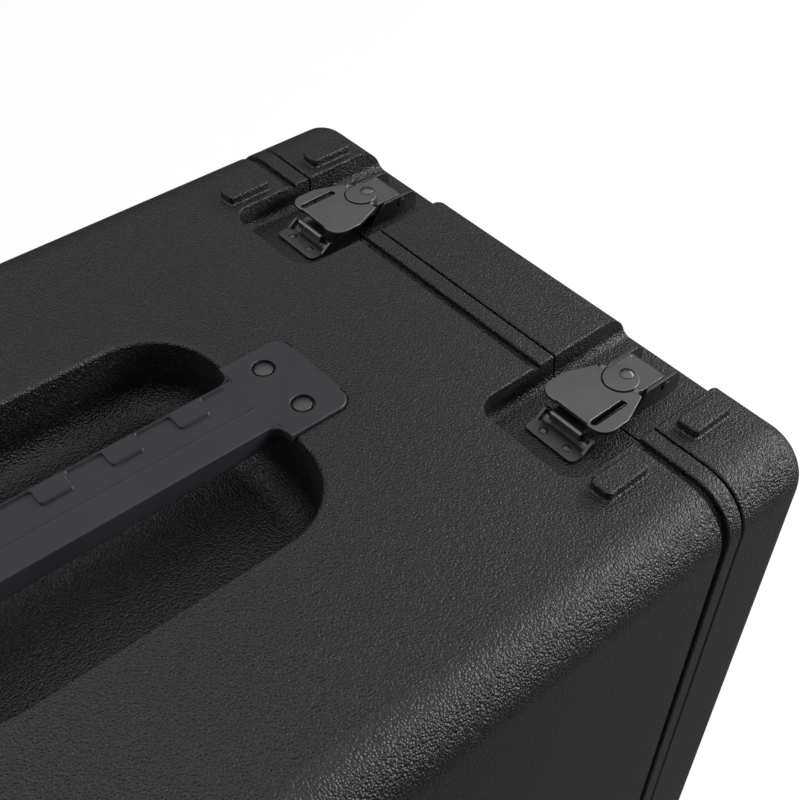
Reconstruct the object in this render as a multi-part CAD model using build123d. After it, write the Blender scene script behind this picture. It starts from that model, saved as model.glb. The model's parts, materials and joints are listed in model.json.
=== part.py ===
from build123d import *
import math
import os

# Rack case of moulded plastic that stands on one side face, with its carrying handle on top.
# All sizes are in millimetres. +Z is up, -Y is the front lid, and X runs along the parting line.
# The pieces are drawn about the middle of the case, and lifted onto the floor when they are written.

# Case shell
case_width = 400.0
case_height = 560.0
body_depth = 491.8
lid_depth = 55.4
parting_gap = 1.2
wall = 5.0
corner_radius = 27.4
lid_edge_radius = 17.0
edge_round = 1.2

# Thick rim at each end of the body and at the mouth of each lid
body_rim_depth = 22.0
lid_rim_depth = 12.0
rim_corner_radius = 13.0
groove_width = 5.0
groove_depth = 3.6
groove_from_end = 9.9
groove_round = 1.2

# Tongue of the lid in the channel of the body, with a seal at the bottom of the channel
channel_inset_x = 6.5
channel_below_pocket = 3.0
channel_inner_wall = 3.5
channel_width = 5.0
channel_depth = 10.0
channel_corner_radius = 20.0
tongue_clearance = 0.5
tongue_seal_gap = 0.4
seal_thickness = 2.0
seal_side_gap = 0.3

# Feet on the two side faces
foot_pocket_gap = 5.5
foot_width = 13.0
foot_length = 29.0
foot_height = 5.5
foot_from_parting_body = 39.6
foot_from_parting_lid = 23.0
foot_corner_radius = 3.0
foot_edge_round = 1.2
foot_base_round = 1.2

# Handle recess and handle
recess_half_width = 80.6
recess_half_length = 107.0
recess_depth = 42.0
recess_corner_radius = 42.0
recess_bottom_radius = 16.0
recess_draft = 4.0
recess_rim_round = 2.4
handle_bar_width = 40.6
handle_bar_thickness = 15.0
handle_proud = 2.0
bar_end_clearance = 3.0
plate_width = 62.5
plate_length = 39.0
plate_overhang = 2.0
plate_thickness = 5.0
plate_corner_radius = 9.0
plate_neck_radius = 8.0
handle_edge_round = 1.2
handle_underside_round = 4.5
seat_clearance = 0.8
seat_pad_margin = 6.0
rivet_spacing_x = 33.0
rivet_from_plate_end = 21.2
rivet_head_radius = 5.15
rivet_head_height = 1.3
rivet_sink_radius = 6.15
rivet_sink_depth = 1.0
rivet_shank_radius = 1.9
rivet_clearance = 0.05
grip_panel_depth = 0.8
grip_panel_end_gap = 2.0
grip_panel_ramp = 12.0
grip_line_x = -4.0
grip_inner_x = 7.0
grip_outer_x = 18.0
grip_tooth_length = 17.7
grip_tooth_pitch = 37.7
grip_tooth_count = 5
grip_corner_radius = 2.0

# Latch pockets
latch_x = 105.0
pocket_half_width = 34.0
pocket_depth = 15.5
pocket_from_parting = 58.1
pocket_corner_radius = 12.0
pocket_bottom_radius = 5.0
pocket_draft = 4.0
pocket_rim_round = 1.0

# Keeper on the body, measured from the parting line
sheet = 1.8
keeper_width = 34.0
keeper_start = 38.5
keeper_wall_from_parting = 22.3
keeper_wall_height = 4.7
keeper_bend_radius = 4.0
keeper_corner_radius = 3.5
keeper_gusset_length = 6.0
keeper_rivet_spacing = 16.0
keeper_rivet_from_back = 5.5
small_head_radius = 2.5
small_head_height = 1.1
small_shank_radius = 1.5
small_shank_length = 4.0

# Hinge bracket of the latch on the lid
bracket_width = 27.6
ear_thickness = 2.0
ear_top = 2.6
ear_flat_start = 21.5
ear_flat_end = 45.8
bracket_start = 10.5
ear_front_radius = 6.0
pin_from_parting = 34.2
pin_drop = 7.3
pin_radius = 2.0
pin_head_radius = 2.9
pin_head_height = 0.9
pin_running_clearance = 0.05
bracket_rivet_from_parting = 17.0
bracket_rivet_pitch = 9.0

# Lever that swings on the pin and carries the hub and the hook
lever_gap = 0.4
lever_top = 2.6
lever_end_from_parting = 3.5
lever_fold_from_parting = 32.6
lever_lip_drop = 5.9
lever_lip_run = 5.9
lever_knuckle_radius = 4.2
lever_cheek_thickness = 1.5
lever_cheek_depth = 6.6
lever_cheek_end_gap = 8.0
lever_corner_radius = 3.0

# Hub with its crank pin
hub_from_parting = 13.3
hub_disc_radius = 9.6
hub_disc_proud = 0.8
hub_float = 0.3
hub_shaft_radius = 5.0
hub_running_clearance = 0.05
crank_throw = 4.6
crank_disc_radius = 7.0
crank_disc_thickness = 1.1
crank_pin_radius = 2.0
crank_head_radius = 4.4
crank_head_height = 1.0
crank_rivet_radius = 3.7
crank_rivet_height = 1.2

# Wing that folds down over the latch
wing_thickness = 2.0
wing_half_width = 22.5
wing_length = 37.3
wing_edge_set_back = 0.9
wing_lobe_radius = 8.0
wing_waist_from_axis = 19.0
wing_back_half_width = 15.5
wing_back_from_axis = 1.2
wing_notch_gap = 0.6
wing_axis_drop = 0.6
wing_knuckle_radius = 1.7
wing_knuckle_length = 2.8
wing_pin_radius = 0.9
wing_pin_clearance = 0.05
wing_slot_x = 12.6
wing_slot_width = 3.6
wing_slot_start = 10.8
wing_slot_length = 24.5
wing_edge_round = 0.5

# Hook that the crank draws in and out
hook_width = 21.0
hook_gap = 0.3
hook_tip_gap = 1.1
hook_tip_drop = 3.5
hook_back_from_axis = 9.5
crank_slot_slack = 1.3

# Rack rails inside
rack_units = 8
unit_pitch = 44.45
hole_offsets = (6.35, 22.225, 38.1)
rail_flange = 34.5
rail_hole_inset = 7.55
rail_thickness = 2.5
rail_leg = 30.0
rail_hole_radius = 3.3
rail_screw_offset = 20.0
rail_screw_head_radius = 4.0
rail_screw_head_height = 2.2
rail_screw_radius = 2.0
rail_screw_length = 4.0
rail_behind_rim = 3.0

# Places worked out from the sizes above
face = case_height / 2
half_body = body_depth / 2
lid_mouth = half_body + parting_gap
lid_face = lid_mouth + lid_depth
parting = half_body + parting_gap / 2
floor_z = face - pocket_depth
foot_x = latch_x + pocket_half_width + foot_pocket_gap + foot_width / 2
channel_inset_z = pocket_depth + channel_below_pocket
rim_width_x = channel_inset_x + channel_width + channel_inner_wall
rim_width_z = channel_inset_z + channel_width + channel_inner_wall
tongue_length = parting_gap + channel_depth - seal_thickness - tongue_seal_gap
handle_bar_half_length = recess_half_length - bar_end_clearance
plate_inner_end = recess_half_length - plate_overhang
handle_half_length = plate_inner_end + plate_length
rivet_y = handle_half_length - rivet_from_plate_end
grip_panel_half_length = plate_inner_end - grip_panel_end_gap
centre_height = foot_height + face
sheet_top = floor_z + sheet
pin_z = face - pin_drop
hub_y = -(parting + hub_from_parting)
pin_y = -(parting + pin_from_parting)
wing_axis_z = face - wing_axis_drop
lever_top_z = face - lever_top
lever_half = bracket_width / 2 - ear_thickness - lever_gap
crank_disc_top = lever_top_z - sheet - hub_float
hook_top = crank_disc_top - crank_disc_thickness - hub_float
tub_z = floor_z - wall
rack_opening = 2 * (tub_z - rail_flange)
rack_hole_spacing = rack_opening + 2 * rail_hole_inset
rail_screw_steps = (-rail_screw_offset, rail_screw_offset)
rail_screw_x = [side * latch_x + step for side in (-1, 1) for step in rail_screw_steps]
keeper_wall_y = -(parting - keeper_wall_from_parting)
hook_tip_y = keeper_wall_y + sheet + hook_tip_gap

lids = {"front": 1, "rear": -1}
faces = {"upper": 1, "lower": -1}
sides = {"right": 1, "left": -1}


def cylinder_z(radius, bottom, top, x=0.0, y=0.0):
    """Upright cylinder between two heights."""
    return Pos(x, y, (bottom + top) / 2) * Cylinder(radius, top - bottom)


def cylinder_x(radius, x_from, x_to, y, z):
    """Cylinder along X between two places."""
    return Pos((x_from + x_to) / 2, y, z) * Rot(0, 90, 0) * Cylinder(radius, x_to - x_from)


def block(x_from, x_to, y_from, y_to, z_from, z_to):
    """Plain block between two corners."""
    middle = Pos((x_from + x_to) / 2, (y_from + y_to) / 2, (z_from + z_to) / 2)
    return middle * Box(x_to - x_from, y_to - y_from, z_to - z_from)


def tube_block(half_x, half_z, radius, y_from, y_to):
    """Rounded rectangle of the case's cross section, drawn along Y."""
    outline = Plane.XZ * RectangleRounded(2 * half_x, 2 * half_z, radius)
    return Pos(0, y_to, 0) * extrude(outline, y_to - y_from)


def edges_at_y(solid, y):
    """Edges that lie wholly in the plane at one Y."""
    return solid.edges().filter_by_position(Axis.Y, y - 0.01, y + 0.01)


def edges_at_z(solid, z):
    """Edges that lie wholly in the plane at one Z."""
    return solid.edges().filter_by_position(Axis.Z, z - 0.01, z + 0.01)


def mirrored(solid, side, lid, face_sign):
    """Copy of a front, upper, right piece for another corner of the case."""
    if side < 0:
        solid = mirror(solid, Plane.YZ)
    if lid < 0:
        solid = mirror(solid, Plane.XZ)
    if face_sign < 0:
        solid = mirror(solid, Plane.XY)
    return solid


def all_corners(solid, lid_signs=(1, -1)):
    """Copies of a front, upper, right piece at each latch corner."""
    return [mirrored(solid, s, l, f) for l in lid_signs for f in (1, -1) for s in (1, -1)]


def profile_x(points, x_from, x_to):
    """Outline in the Y and Z plane drawn along X."""
    outline = make_face(Plane.YZ * Polyline(*points, close=True))
    return Pos(x_from, 0, 0) * extrude(outline, x_to - x_from)


def write(name, solids):
    """Lift a piece, or a group of like pieces, onto the floor and write it."""
    if not isinstance(solids, list):
        solids = [solids]
    parts = []
    for item in solids:
        parts.extend((Pos(0, 0, centre_height) * item).solids())
    shape = parts[0] if len(parts) == 1 else Compound(children=parts)
    export_step(shape, f"parts/{name}.step")


def foot(y):
    """Foot on the upper right of a face, with rounded corners and top edge."""
    pad = Pos(foot_x, y, face - wall / 2) * extrude(
        RectangleRounded(foot_width, foot_length, foot_corner_radius), foot_height + wall / 2
    )
    return fillet(edges_at_z(pad, face + foot_height), foot_edge_round)


def pocket_outline(margin):
    """Outline of a latch pocket, open past the front of the lid, grown by a margin."""
    start = -(parting - pocket_from_parting) + margin
    end = -(lid_face + 3 * wall)
    width = 2 * (pocket_half_width + margin)
    outline = Pos(latch_x, (start + end) / 2, face) * Rectangle(width, start - end)
    ends = [v for v in outline.vertices() if v.Y > end + 1]
    return fillet(ends, pocket_corner_radius + margin)


def with_rounded_mouth(cutter, outline, radius):
    """Cutter whose mouth in the face flares out by a radius, below a wider slab."""
    slab = extrude(outline, wall)
    body = cutter + slab
    rim = [edge for edge in edges_at_z(body, face) if not on_edge_of(edge, slab)]
    return fillet(rim, radius)


def on_edge_of(edge, slab):
    """True where an edge lies on the outer side of a slab."""
    middle = edge @ 0.5
    sides = slab.faces().filter_by(lambda f: abs(f.normal_at().Z) < 0.5)
    return min(side.distance_to(Vertex(middle.X, middle.Y, middle.Z)) for side in sides) < 0.01


def latch_pocket():
    """Cutter for one latch pocket, from the body through the front of the lid."""
    cutter = extrude(pocket_outline(0), -pocket_depth, taper=pocket_draft)
    cutter = fillet(edges_at_z(cutter, floor_z), pocket_bottom_radius)
    return with_rounded_mouth(cutter, pocket_outline(2 * pocket_rim_round), pocket_rim_round)


def with_feet(shell, y, lid_signs):
    """Shell with its feet on both side faces, and a round where each meets the face."""
    shell = shell.fuse(*all_corners(foot(y), lid_signs))
    base = []
    for edge in edges_at_z(shell, face) + edges_at_z(shell, -face):
        middle = edge @ 0.5
        near_x = abs(abs(middle.X) - foot_x) < foot_width
        if near_x and abs(abs(middle.Y) - abs(y)) < foot_length:
            base.append(edge)
    return fillet(base, foot_base_round)


def pocket_tub(y_from, y_to):
    """Inner wall under a latch pocket."""
    return block(
        latch_x - pocket_half_width - wall, latch_x + pocket_half_width + wall,
        y_from, y_to, tub_z, face - wall / 2,
    )


def recess_outline(margin):
    """Outline of the handle recess, grown by a margin."""
    return Pos(0, 0, face) * RectangleRounded(
        2 * (recess_half_width + margin), 2 * (recess_half_length + margin), recess_corner_radius + margin
    )


def handle_recess():
    """Cutter for the handle recess."""
    cutter = extrude(recess_outline(0), -recess_depth, taper=recess_draft)
    cutter = fillet(edges_at_z(cutter, face - recess_depth), recess_bottom_radius)
    return with_rounded_mouth(cutter, recess_outline(2 * recess_rim_round), recess_rim_round)


def recess_tub():
    """Inner wall round the handle recess."""
    outline = Pos(0, 0, -wall / 2) * recess_outline(wall)
    tub = extrude(outline, -(recess_depth + wall / 2), taper=recess_draft)
    return fillet(edges_at_z(tub, face - recess_depth - wall), recess_bottom_radius)


def plate_outline(margin, length_margin):
    """Outline of one end plate of the handle, grown by a margin."""
    start = plate_inner_end - length_margin
    length = handle_half_length + margin - start
    outline = Pos(0, start + length / 2) * Rectangle(plate_width + 2 * margin, length)
    return fillet(outline.vertices().group_by(Axis.Y)[-1], plate_corner_radius + margin)


def plate_seat():
    """Cutter for the shallow seat of one end plate."""
    depth = plate_thickness - handle_proud
    return Pos(0, 0, face - depth) * extrude(plate_outline(seat_clearance, 0), depth + 1)


def seat_pad():
    """Inner pad that backs one plate seat."""
    bottom = face - plate_thickness + handle_proud - wall
    pad = plate_outline(seat_pad_margin, 0)
    return Pos(0, 0, bottom) * extrude(pad, face - wall / 2 - bottom)


def handle_rivet_places():
    """Places of the four rivets of one handle."""
    return [(sx * rivet_spacing_x / 2, sy * rivet_y) for sx in (-1, 1) for sy in (-1, 1)]


def handle_holes():
    """Shank holes for one handle through the shell."""
    radius = rivet_shank_radius + rivet_clearance
    return [cylinder_z(radius, face - 4 * wall, face + 1, x, y) for x, y in handle_rivet_places()]


def channel_ring(gap, y_from, y_to):
    """Ring that follows the channel of the rim, thinned by a gap on both sides."""
    half_x = case_width / 2 - channel_inset_x - gap
    half_z = face - channel_inset_z - gap
    width = channel_width - 2 * gap
    outer = tube_block(half_x, half_z, channel_corner_radius - gap, y_from, y_to)
    inner_radius = channel_corner_radius - channel_width + gap
    inner = tube_block(half_x - width, half_z - width, inner_radius, y_from - 1, y_to + 1)
    return outer - inner


def rim_groove():
    """Ring cutter for the groove round the front end of the body."""
    y_from = -half_body + groove_from_end
    y_to = y_from + groove_width
    outer = tube_block(case_width / 2 + wall, face + wall, corner_radius + wall, y_from, y_to)
    half_x = case_width / 2 - groove_depth
    inner = tube_block(half_x, face - groove_depth, corner_radius - groove_depth, y_from - 1, y_to + 1)
    return outer - inner


def body_blank():
    """Body tube with rounded ends and a groove near each end."""
    blank = tube_block(case_width / 2, face, corner_radius, -half_body, half_body)
    blank = fillet(edges_at_y(blank, -half_body) + edges_at_y(blank, half_body), edge_round)
    blank = blank - rim_groove() - mirror(rim_groove(), Plane.XZ)
    lips = []
    for sign in (-1, 1):
        for y in (half_body - groove_from_end, half_body - groove_from_end - groove_width):
            ring = edges_at_y(blank, sign * y)
            outer = max(edge.center().X for edge in ring)
            lips += [edge for edge in ring if on_outer_loop(edge, outer)]
    return fillet(lips, groove_round)


def on_outer_loop(edge, outer_x):
    """True for an edge of the outer of two nested rings in one plane."""
    middle = edge @ 0.5
    deep = groove_depth / 2
    return abs(middle.X) > outer_x - deep or abs(middle.Z) > face - deep or corner_depth(middle) < deep


def corner_depth(point):
    """Distance of a point inside the rounded corner of the case's cross section."""
    dx = abs(point.X) - (case_width / 2 - corner_radius)
    dz = abs(point.Z) - (face - corner_radius)
    if dx <= 0 or dz <= 0:
        return corner_radius
    return corner_radius - math.hypot(dx, dz)


def body_hollow():
    """Space inside the body: the full bay, and the narrower mouths through the rims."""
    bay_half = half_body - body_rim_depth
    bay = tube_block(case_width / 2 - wall, face - wall, corner_radius - wall, -bay_half, bay_half)
    mouth = tube_block(
        case_width / 2 - rim_width_x, face - rim_width_z, rim_corner_radius, -half_body - 1, half_body + 1
    )
    return bay + mouth


def body_shell():
    """Moulded body: a tube open at both ends, with its recesses, pockets and feet."""
    shell = body_blank() - body_hollow()
    tub_start = -(parting - pocket_from_parting) + wall
    tub = pocket_tub(-half_body + body_rim_depth / 2, tub_start)
    inner = all_corners(tub) + [recess_tub(), seat_pad(), mirror(seat_pad(), Plane.XZ)]
    inner += [mirror(piece, Plane.XY) for piece in inner[-3:]]
    shell = shell.fuse(*inner)
    shell = with_feet(shell, -(parting - foot_from_parting_body), (1, -1))
    cuts = all_corners(latch_pocket())
    for turn in (1, -1):
        for cutter in [handle_recess(), plate_seat(), mirror(plate_seat(), Plane.XZ)] + handle_holes():
            cuts.append(cutter if turn > 0 else mirror(cutter, Plane.XY))
    cuts += [channel_ring(0, -half_body - 1, -half_body + channel_depth)]
    cuts += [mirror(cuts[-1], Plane.XZ)]
    cuts += all_corners_holes(keeper_rivet_places())
    cuts += [rail_screw_hole(x, y, f) for x, y in rail_screw_places() for f in (1, -1)]
    return shell.cut(*cuts)


def all_corners_holes(places):
    """Shank holes in the pocket floors at the given places of the front, upper, right latch."""
    radius = small_shank_radius + rivet_clearance
    holes = [cylinder_z(radius, floor_z - small_shank_length, floor_z + 1, x, y) for x, y in places]
    return [copy for hole in holes for copy in all_corners(hole)]


def lid_shell():
    """Moulded front lid: a shallow tray with rounded edges, a rim and a tongue."""
    tray = tube_block(case_width / 2, face, corner_radius, -lid_face, -lid_mouth)
    tray = fillet(edges_at_y(tray, -lid_face), lid_edge_radius)
    tray = fillet(edges_at_y(tray, -lid_mouth), edge_round)
    back = -lid_face + wall
    rim_start = -lid_mouth - lid_rim_depth
    hollow = tube_block(case_width / 2 - wall, face - wall, corner_radius - wall, back, rim_start)
    hollow = fillet(edges_at_y(hollow, back), lid_edge_radius - wall)
    mouth = tube_block(
        case_width / 2 - rim_width_x, face - rim_width_z, rim_corner_radius, back + wall, -lid_mouth + 1
    )
    tubs = pocket_tub(-lid_face + wall / 2, -lid_mouth - lid_rim_depth / 2) & tray
    tubs = all_corners(tubs, (1,))
    tray = tray - hollow - mouth
    tongue = channel_ring(tongue_clearance, -lid_mouth - lid_rim_depth / 2, -lid_mouth + tongue_length)
    tray = with_feet(tray.fuse(*tubs, tongue), -(parting + foot_from_parting_lid), (1,))
    radius = small_shank_radius + rivet_clearance
    holes = []
    for x, y in bracket_rivet_places():
        hole = cylinder_z(radius, floor_z - small_shank_length, floor_z + 1, x, y)
        holes += all_corners(hole, (1,))
    return tray.cut(*all_corners(latch_pocket(), (1,)), *holes)


def seal():
    """Rubber seal at the bottom of the front channel."""
    bottom = -half_body + channel_depth
    return channel_ring(seal_side_gap, bottom - seal_thickness, bottom)


def handle():
    """Carrying handle of the upper face: a bar between two end plates, with a sunken grip panel."""
    top = face + handle_proud
    bar_bottom = top - handle_bar_thickness
    outline = Rectangle(handle_bar_width, 2 * handle_half_length - 2 * plate_corner_radius)
    outline = outline + plate_outline(0, 0) + mirror(plate_outline(0, 0), Plane.XZ)
    necks = [v for v in outline.vertices() if abs(abs(v.X) - handle_bar_width / 2) < 0.01]
    outline = fillet(necks, plate_neck_radius)
    slab = Pos(0, 0, top - plate_thickness) * extrude(outline, plate_thickness)
    slab = fillet(edges_at_z(slab, top), handle_edge_round)
    bar = Pos(0, 0, bar_bottom) * extrude(
        Rectangle(handle_bar_width, 2 * handle_bar_half_length), handle_bar_thickness - plate_thickness
    )
    bar = fillet(edges_at_z(bar, bar_bottom).filter_by(Axis.Y), handle_underside_round)
    body = slab + bar - grip_panel(top)
    for x, y in handle_rivet_places():
        body = body - cylinder_z(rivet_sink_radius, top - rivet_sink_depth, top + 1, x, y)
        body = body - cylinder_z(rivet_shank_radius + rivet_clearance, bar_bottom - 1, top + 1, x, y)
    return body


def grip_panel(top):
    """Cutter for the sunken panel of the grip: straight on one side, stepped on the other."""
    half = grip_panel_half_length
    points = [(grip_line_x, half), (grip_line_x, -half), (grip_outer_x, -half)]
    first = -grip_tooth_pitch * (grip_tooth_count - 1) / 2
    for index in range(grip_tooth_count):
        start = first + index * grip_tooth_pitch - grip_tooth_length / 2
        end = start + grip_tooth_length
        points += [(grip_outer_x, start), (grip_inner_x, start), (grip_inner_x, end), (grip_outer_x, end)]
    points.append((grip_outer_x, half))
    outline = make_face(Polyline(*points, close=True))
    corners = [v for v in outline.vertices() if abs(v.Y) < half - 1]
    outline = fillet(corners, grip_corner_radius)
    panel = Pos(0, 0, top - grip_panel_depth) * extrude(outline, 2 * grip_panel_depth)
    ramp = profile_x([
        (-half, top), (-half + grip_panel_ramp, top - grip_panel_depth),
        (half - grip_panel_ramp, top - grip_panel_depth), (half, top), (half, top + 1), (-half, top + 1),
    ], grip_line_x - 1, grip_outer_x + 1)
    return panel & ramp


def handle_rivet(x, y):
    """Domed rivet of the handle."""
    top = face + handle_proud - rivet_sink_depth
    head = dome(rivet_head_radius, rivet_head_height, x, y, top)
    bottom = face - plate_thickness + handle_proud - wall
    return head + cylinder_z(rivet_shank_radius, bottom, top, x, y)


def dome(radius, height, x, y, z):
    """Low domed head whose flat side lies at one height."""
    sphere_radius = (radius ** 2 + height ** 2) / (2 * height)
    ball = Pos(x, y, z + height - sphere_radius) * Sphere(sphere_radius)
    return ball & cylinder_z(radius, z, z + 2 * height, x, y)


def small_rivet(x, y):
    """Small domed rivet that holds sheet metal to a pocket floor."""
    head = dome(small_head_radius, small_head_height, x, y, sheet_top)
    return head + cylinder_z(small_shank_radius, floor_z - small_shank_length, sheet_top, x, y)


def keeper_rivet_places():
    """Places of the two rivets of the front, upper, right keeper."""
    y = -(parting - keeper_start + keeper_rivet_from_back)
    return [(latch_x + s * keeper_rivet_spacing / 2, y) for s in (-1, 1)]


def bracket_rivet_places():
    """Places of the two rivets of the front, upper, right bracket."""
    start = parting + bracket_rivet_from_parting
    return [(latch_x, -(start + step * bracket_rivet_pitch)) for step in (0, 1)]


def keeper():
    """Keeper that the hook holds: a plate that curves up into a wall, with a gusset at each side."""
    y_back = -(parting - keeper_start)
    y_wall = keeper_wall_y
    top = sheet_top + keeper_wall_height
    half = keeper_width / 2
    base = block(latch_x - half, latch_x + half, y_wall, y_back, floor_z, sheet_top)
    base = fillet(base.edges().filter_by(Axis.Z).group_by(Axis.Y)[-1], keeper_corner_radius)
    upright = block(latch_x - half, latch_x + half, y_wall, y_wall + sheet, floor_z, top)
    corner = block(
        latch_x - half, latch_x + half, y_wall + sheet, y_wall + sheet + keeper_bend_radius,
        sheet_top, sheet_top + keeper_bend_radius,
    )
    corner = corner - cylinder_x(
        keeper_bend_radius, latch_x - half - 1, latch_x + half + 1,
        y_wall + sheet + keeper_bend_radius, sheet_top + keeper_bend_radius,
    )
    inner = y_wall + sheet
    points = [(inner, sheet_top), (inner + keeper_gusset_length, sheet_top), (inner, top)]
    gussets = [profile_x(points, latch_x - half, latch_x - half + sheet)]
    gussets += [profile_x(points, latch_x + half - sheet, latch_x + half)]
    body = base.fuse(upright, corner, *gussets)
    for x, y in keeper_rivet_places():
        body = body - cylinder_z(small_shank_radius + rivet_clearance, floor_z - 1, sheet_top + 1, x, y)
    return body


def bracket():
    """Channel bracket of the latch, with two ears for the hinge pin."""
    y_start = -(parting + bracket_start)
    y_end = -(parting + ear_flat_end)
    half = bracket_width / 2
    top = face - ear_top
    base = block(latch_x - half, latch_x + half, y_end, y_start, floor_z, sheet_top)
    points = [
        (y_start, floor_z), (y_start, sheet_top), (-(parting + ear_flat_start), top),
        (y_end, top), (y_end, floor_z),
    ]
    body = base
    for side in (-1, 1):
        inner = latch_x + side * (half - ear_thickness)
        outer = latch_x + side * half
        ear = profile_x(points, min(inner, outer), max(inner, outer))
        front = ear.edges().filter_by(Axis.X).filter_by_position(Axis.Z, top - 0.01, top + 0.01)
        ear = fillet(front.group_by(Axis.Y)[0], ear_front_radius)
        body = body.fuse(ear)
    bore = cylinder_x(pin_radius + rivet_clearance, latch_x - half - 1, latch_x + half + 1, pin_y, pin_z)
    body = body - bore
    for x, y in bracket_rivet_places():
        body = body - cylinder_z(small_shank_radius + rivet_clearance, floor_z - 1, sheet_top + 1, x, y)
    return body


def hinge_pin():
    """Headed pin through the ears of the bracket."""
    half = bracket_width / 2
    pin = cylinder_x(pin_radius, latch_x - half, latch_x + half, pin_y, pin_z)
    for side in (-1, 1):
        start = latch_x + side * half
        end = start + side * pin_head_height
        pin = pin + cylinder_x(pin_head_radius, min(start, end), max(start, end), pin_y, pin_z)
    return pin


def lever():
    """Lever plate with two cheeks, a sloping lip and the knuckle that turns on the pin."""
    y_end = -(parting + lever_end_from_parting)
    y_fold = -(parting + lever_fold_from_parting)
    top = lever_top_z
    low = top - sheet
    left = latch_x - lever_half
    right = latch_x + lever_half
    plate = block(left, right, y_fold, y_end, low, top)
    plate = fillet(plate.edges().filter_by(Axis.Z).group_by(Axis.Y)[-1], lever_corner_radius)
    lip = profile_x([
        (y_fold, top), (y_fold - lever_lip_run, top - lever_lip_drop),
        (y_fold - lever_lip_run, top - lever_lip_drop - sheet), (y_fold, low),
    ], left, right)
    knuckle = cylinder_x(lever_knuckle_radius, left, right, pin_y, pin_z)
    cheek_start = pin_y
    cheek_end = y_end - lever_cheek_end_gap
    cheeks = []
    for x in (left, right - lever_cheek_thickness):
        cheeks.append(block(x, x + lever_cheek_thickness, cheek_start, cheek_end, top - lever_cheek_depth, top))
    body = plate.fuse(lip, knuckle, *cheeks)
    body = body - cylinder_x(pin_radius + pin_running_clearance, left - 1, right + 1, pin_y, pin_z)
    return body - cylinder_z(hub_shaft_radius + hub_running_clearance, low - 1, top + 1, latch_x, hub_y)


def hub():
    """Hub: top disc with the pins of the wing, shaft, crank disc and crank pin with its heads."""
    disc_top = face + hub_disc_proud
    disc = cylinder_z(hub_disc_radius, lever_top_z + hub_float, disc_top, latch_x, hub_y)
    disc = fillet(edges_at_z(disc, disc_top), wing_edge_round)
    shaft = cylinder_z(hub_shaft_radius, crank_disc_top, lever_top_z + hub_float, latch_x, hub_y)
    crank_bottom = crank_disc_top - crank_disc_thickness
    crank = cylinder_z(crank_disc_radius, crank_bottom, crank_disc_top, latch_x, hub_y)
    crank_y = hub_y - crank_throw
    pin_bottom = hook_top - sheet - hub_float
    pin = cylinder_z(crank_pin_radius, pin_bottom, crank_bottom, latch_x, crank_y)
    head = cylinder_z(crank_head_radius, pin_bottom - crank_head_height, pin_bottom, latch_x, crank_y)
    rivet = dome(crank_rivet_radius, crank_rivet_height, latch_x, crank_y, disc_top)
    body = disc.fuse(shaft, crank, pin, head, rivet)
    reach = hub_disc_radius + wing_notch_gap + wing_knuckle_length
    pins = cylinder_x(wing_pin_radius, latch_x - reach, latch_x + reach, hub_y, wing_axis_z)
    return body.fuse(pins)


def wing():
    """Folding wing: a plate with two lobes, a notch round the hub, a slot and two knuckles."""
    half = wing_half_width
    tip = hub_y + wing_length
    waist = hub_y + wing_waist_from_axis
    back = hub_y + wing_back_from_axis
    outline = Polyline(
        (-wing_back_half_width, back), (-half, waist), (-half, tip), (-half / 2, tip),
        (-half / 2 + 1, tip - wing_edge_set_back), (half / 2 - 1, tip - wing_edge_set_back),
        (half / 2, tip), (half, tip), (half, waist), (wing_back_half_width, back), close=True,
    )
    sketch = make_face(outline)
    lobes = [v for v in sketch.vertices() if abs(abs(v.X) - half) < 0.01 and abs(v.Y - tip) < 0.01]
    sketch = fillet(lobes, wing_lobe_radius)
    waists = [v for v in sketch.vertices() if abs(abs(v.X) - half) < 0.01 and abs(v.Y - waist) < 0.01]
    sketch = fillet(waists, wing_lobe_radius)
    plate = Pos(latch_x, 0, face - wing_thickness) * extrude(sketch, wing_thickness)
    plate = fillet(edges_at_z(plate, face), wing_edge_round)
    notch = cylinder_z(hub_disc_radius + wing_notch_gap, face - 2 * wing_thickness, face + 1, latch_x, hub_y)
    plate = plate - notch
    slot_y = hub_y + wing_slot_start + wing_slot_length / 2
    slot_middle = Pos(latch_x + wing_slot_x, slot_y, face - 2 * wing_thickness)
    slot = slot_middle * Rot(0, 0, 90) * extrude(
        SlotOverall(wing_slot_length, wing_slot_width), 3 * wing_thickness
    )
    plate = plate - slot
    inner = hub_disc_radius + wing_notch_gap
    outer = inner + wing_knuckle_length
    arms = []
    for side in (-1, 1):
        x_from = min(side * inner, side * outer) + latch_x
        x_to = max(side * inner, side * outer) + latch_x
        knuckle = cylinder_x(wing_knuckle_radius, x_from, x_to, hub_y, wing_axis_z)
        arm = block(x_from, x_to, hub_y, back + wing_lobe_radius / 2, face - wing_thickness, face)
        arms += [knuckle, arm]
    plate = plate.fuse(*arms)
    reach = outer + 1
    bore = cylinder_x(wing_pin_radius + wing_pin_clearance, latch_x - reach, latch_x + reach, hub_y, wing_axis_z)
    return plate - bore


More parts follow.
